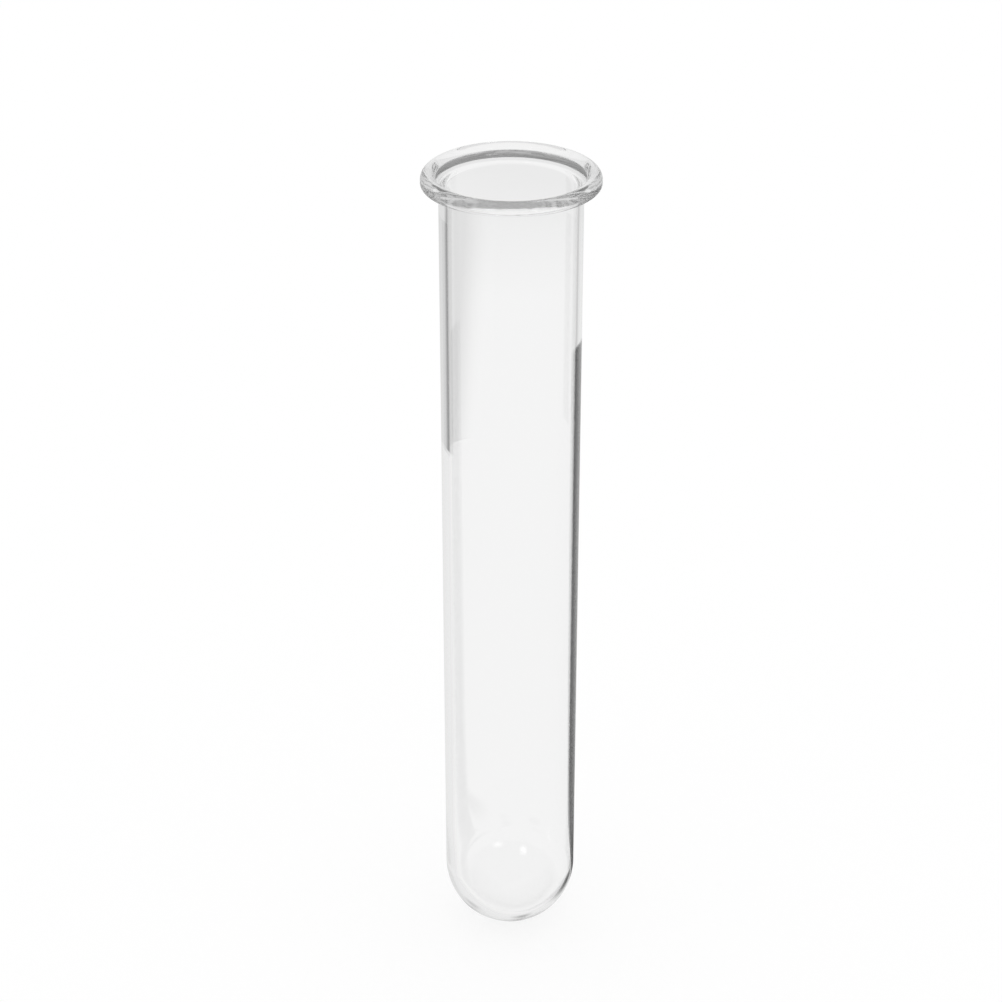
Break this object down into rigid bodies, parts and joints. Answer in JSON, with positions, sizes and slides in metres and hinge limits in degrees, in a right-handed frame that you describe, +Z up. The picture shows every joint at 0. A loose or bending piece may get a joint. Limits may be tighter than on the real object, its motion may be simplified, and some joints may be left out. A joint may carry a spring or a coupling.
{
  "type": "test tube vase",
  "caption": "Slim round-bottomed tube of clear glass with a flared, rounded lip, which hangs in a stand's hole and holds water and a flower stem.",
  "frame": {"origin": "on the axis, at the lowest point of the round bottom", "axes": "+Z up along the axis, from the round bottom to the mouth; the tube is the same all round, so X and Y are free"},
  "size_m": [0.03, 0.03, 0.15],
  "materials": {
    "clear_glass": "clear and colourless, drawn wall, fire-polished lip"
  },
  "bodies": {
    "root": {"glass_tube": "clear_glass"}
  },
  "joints": []
}
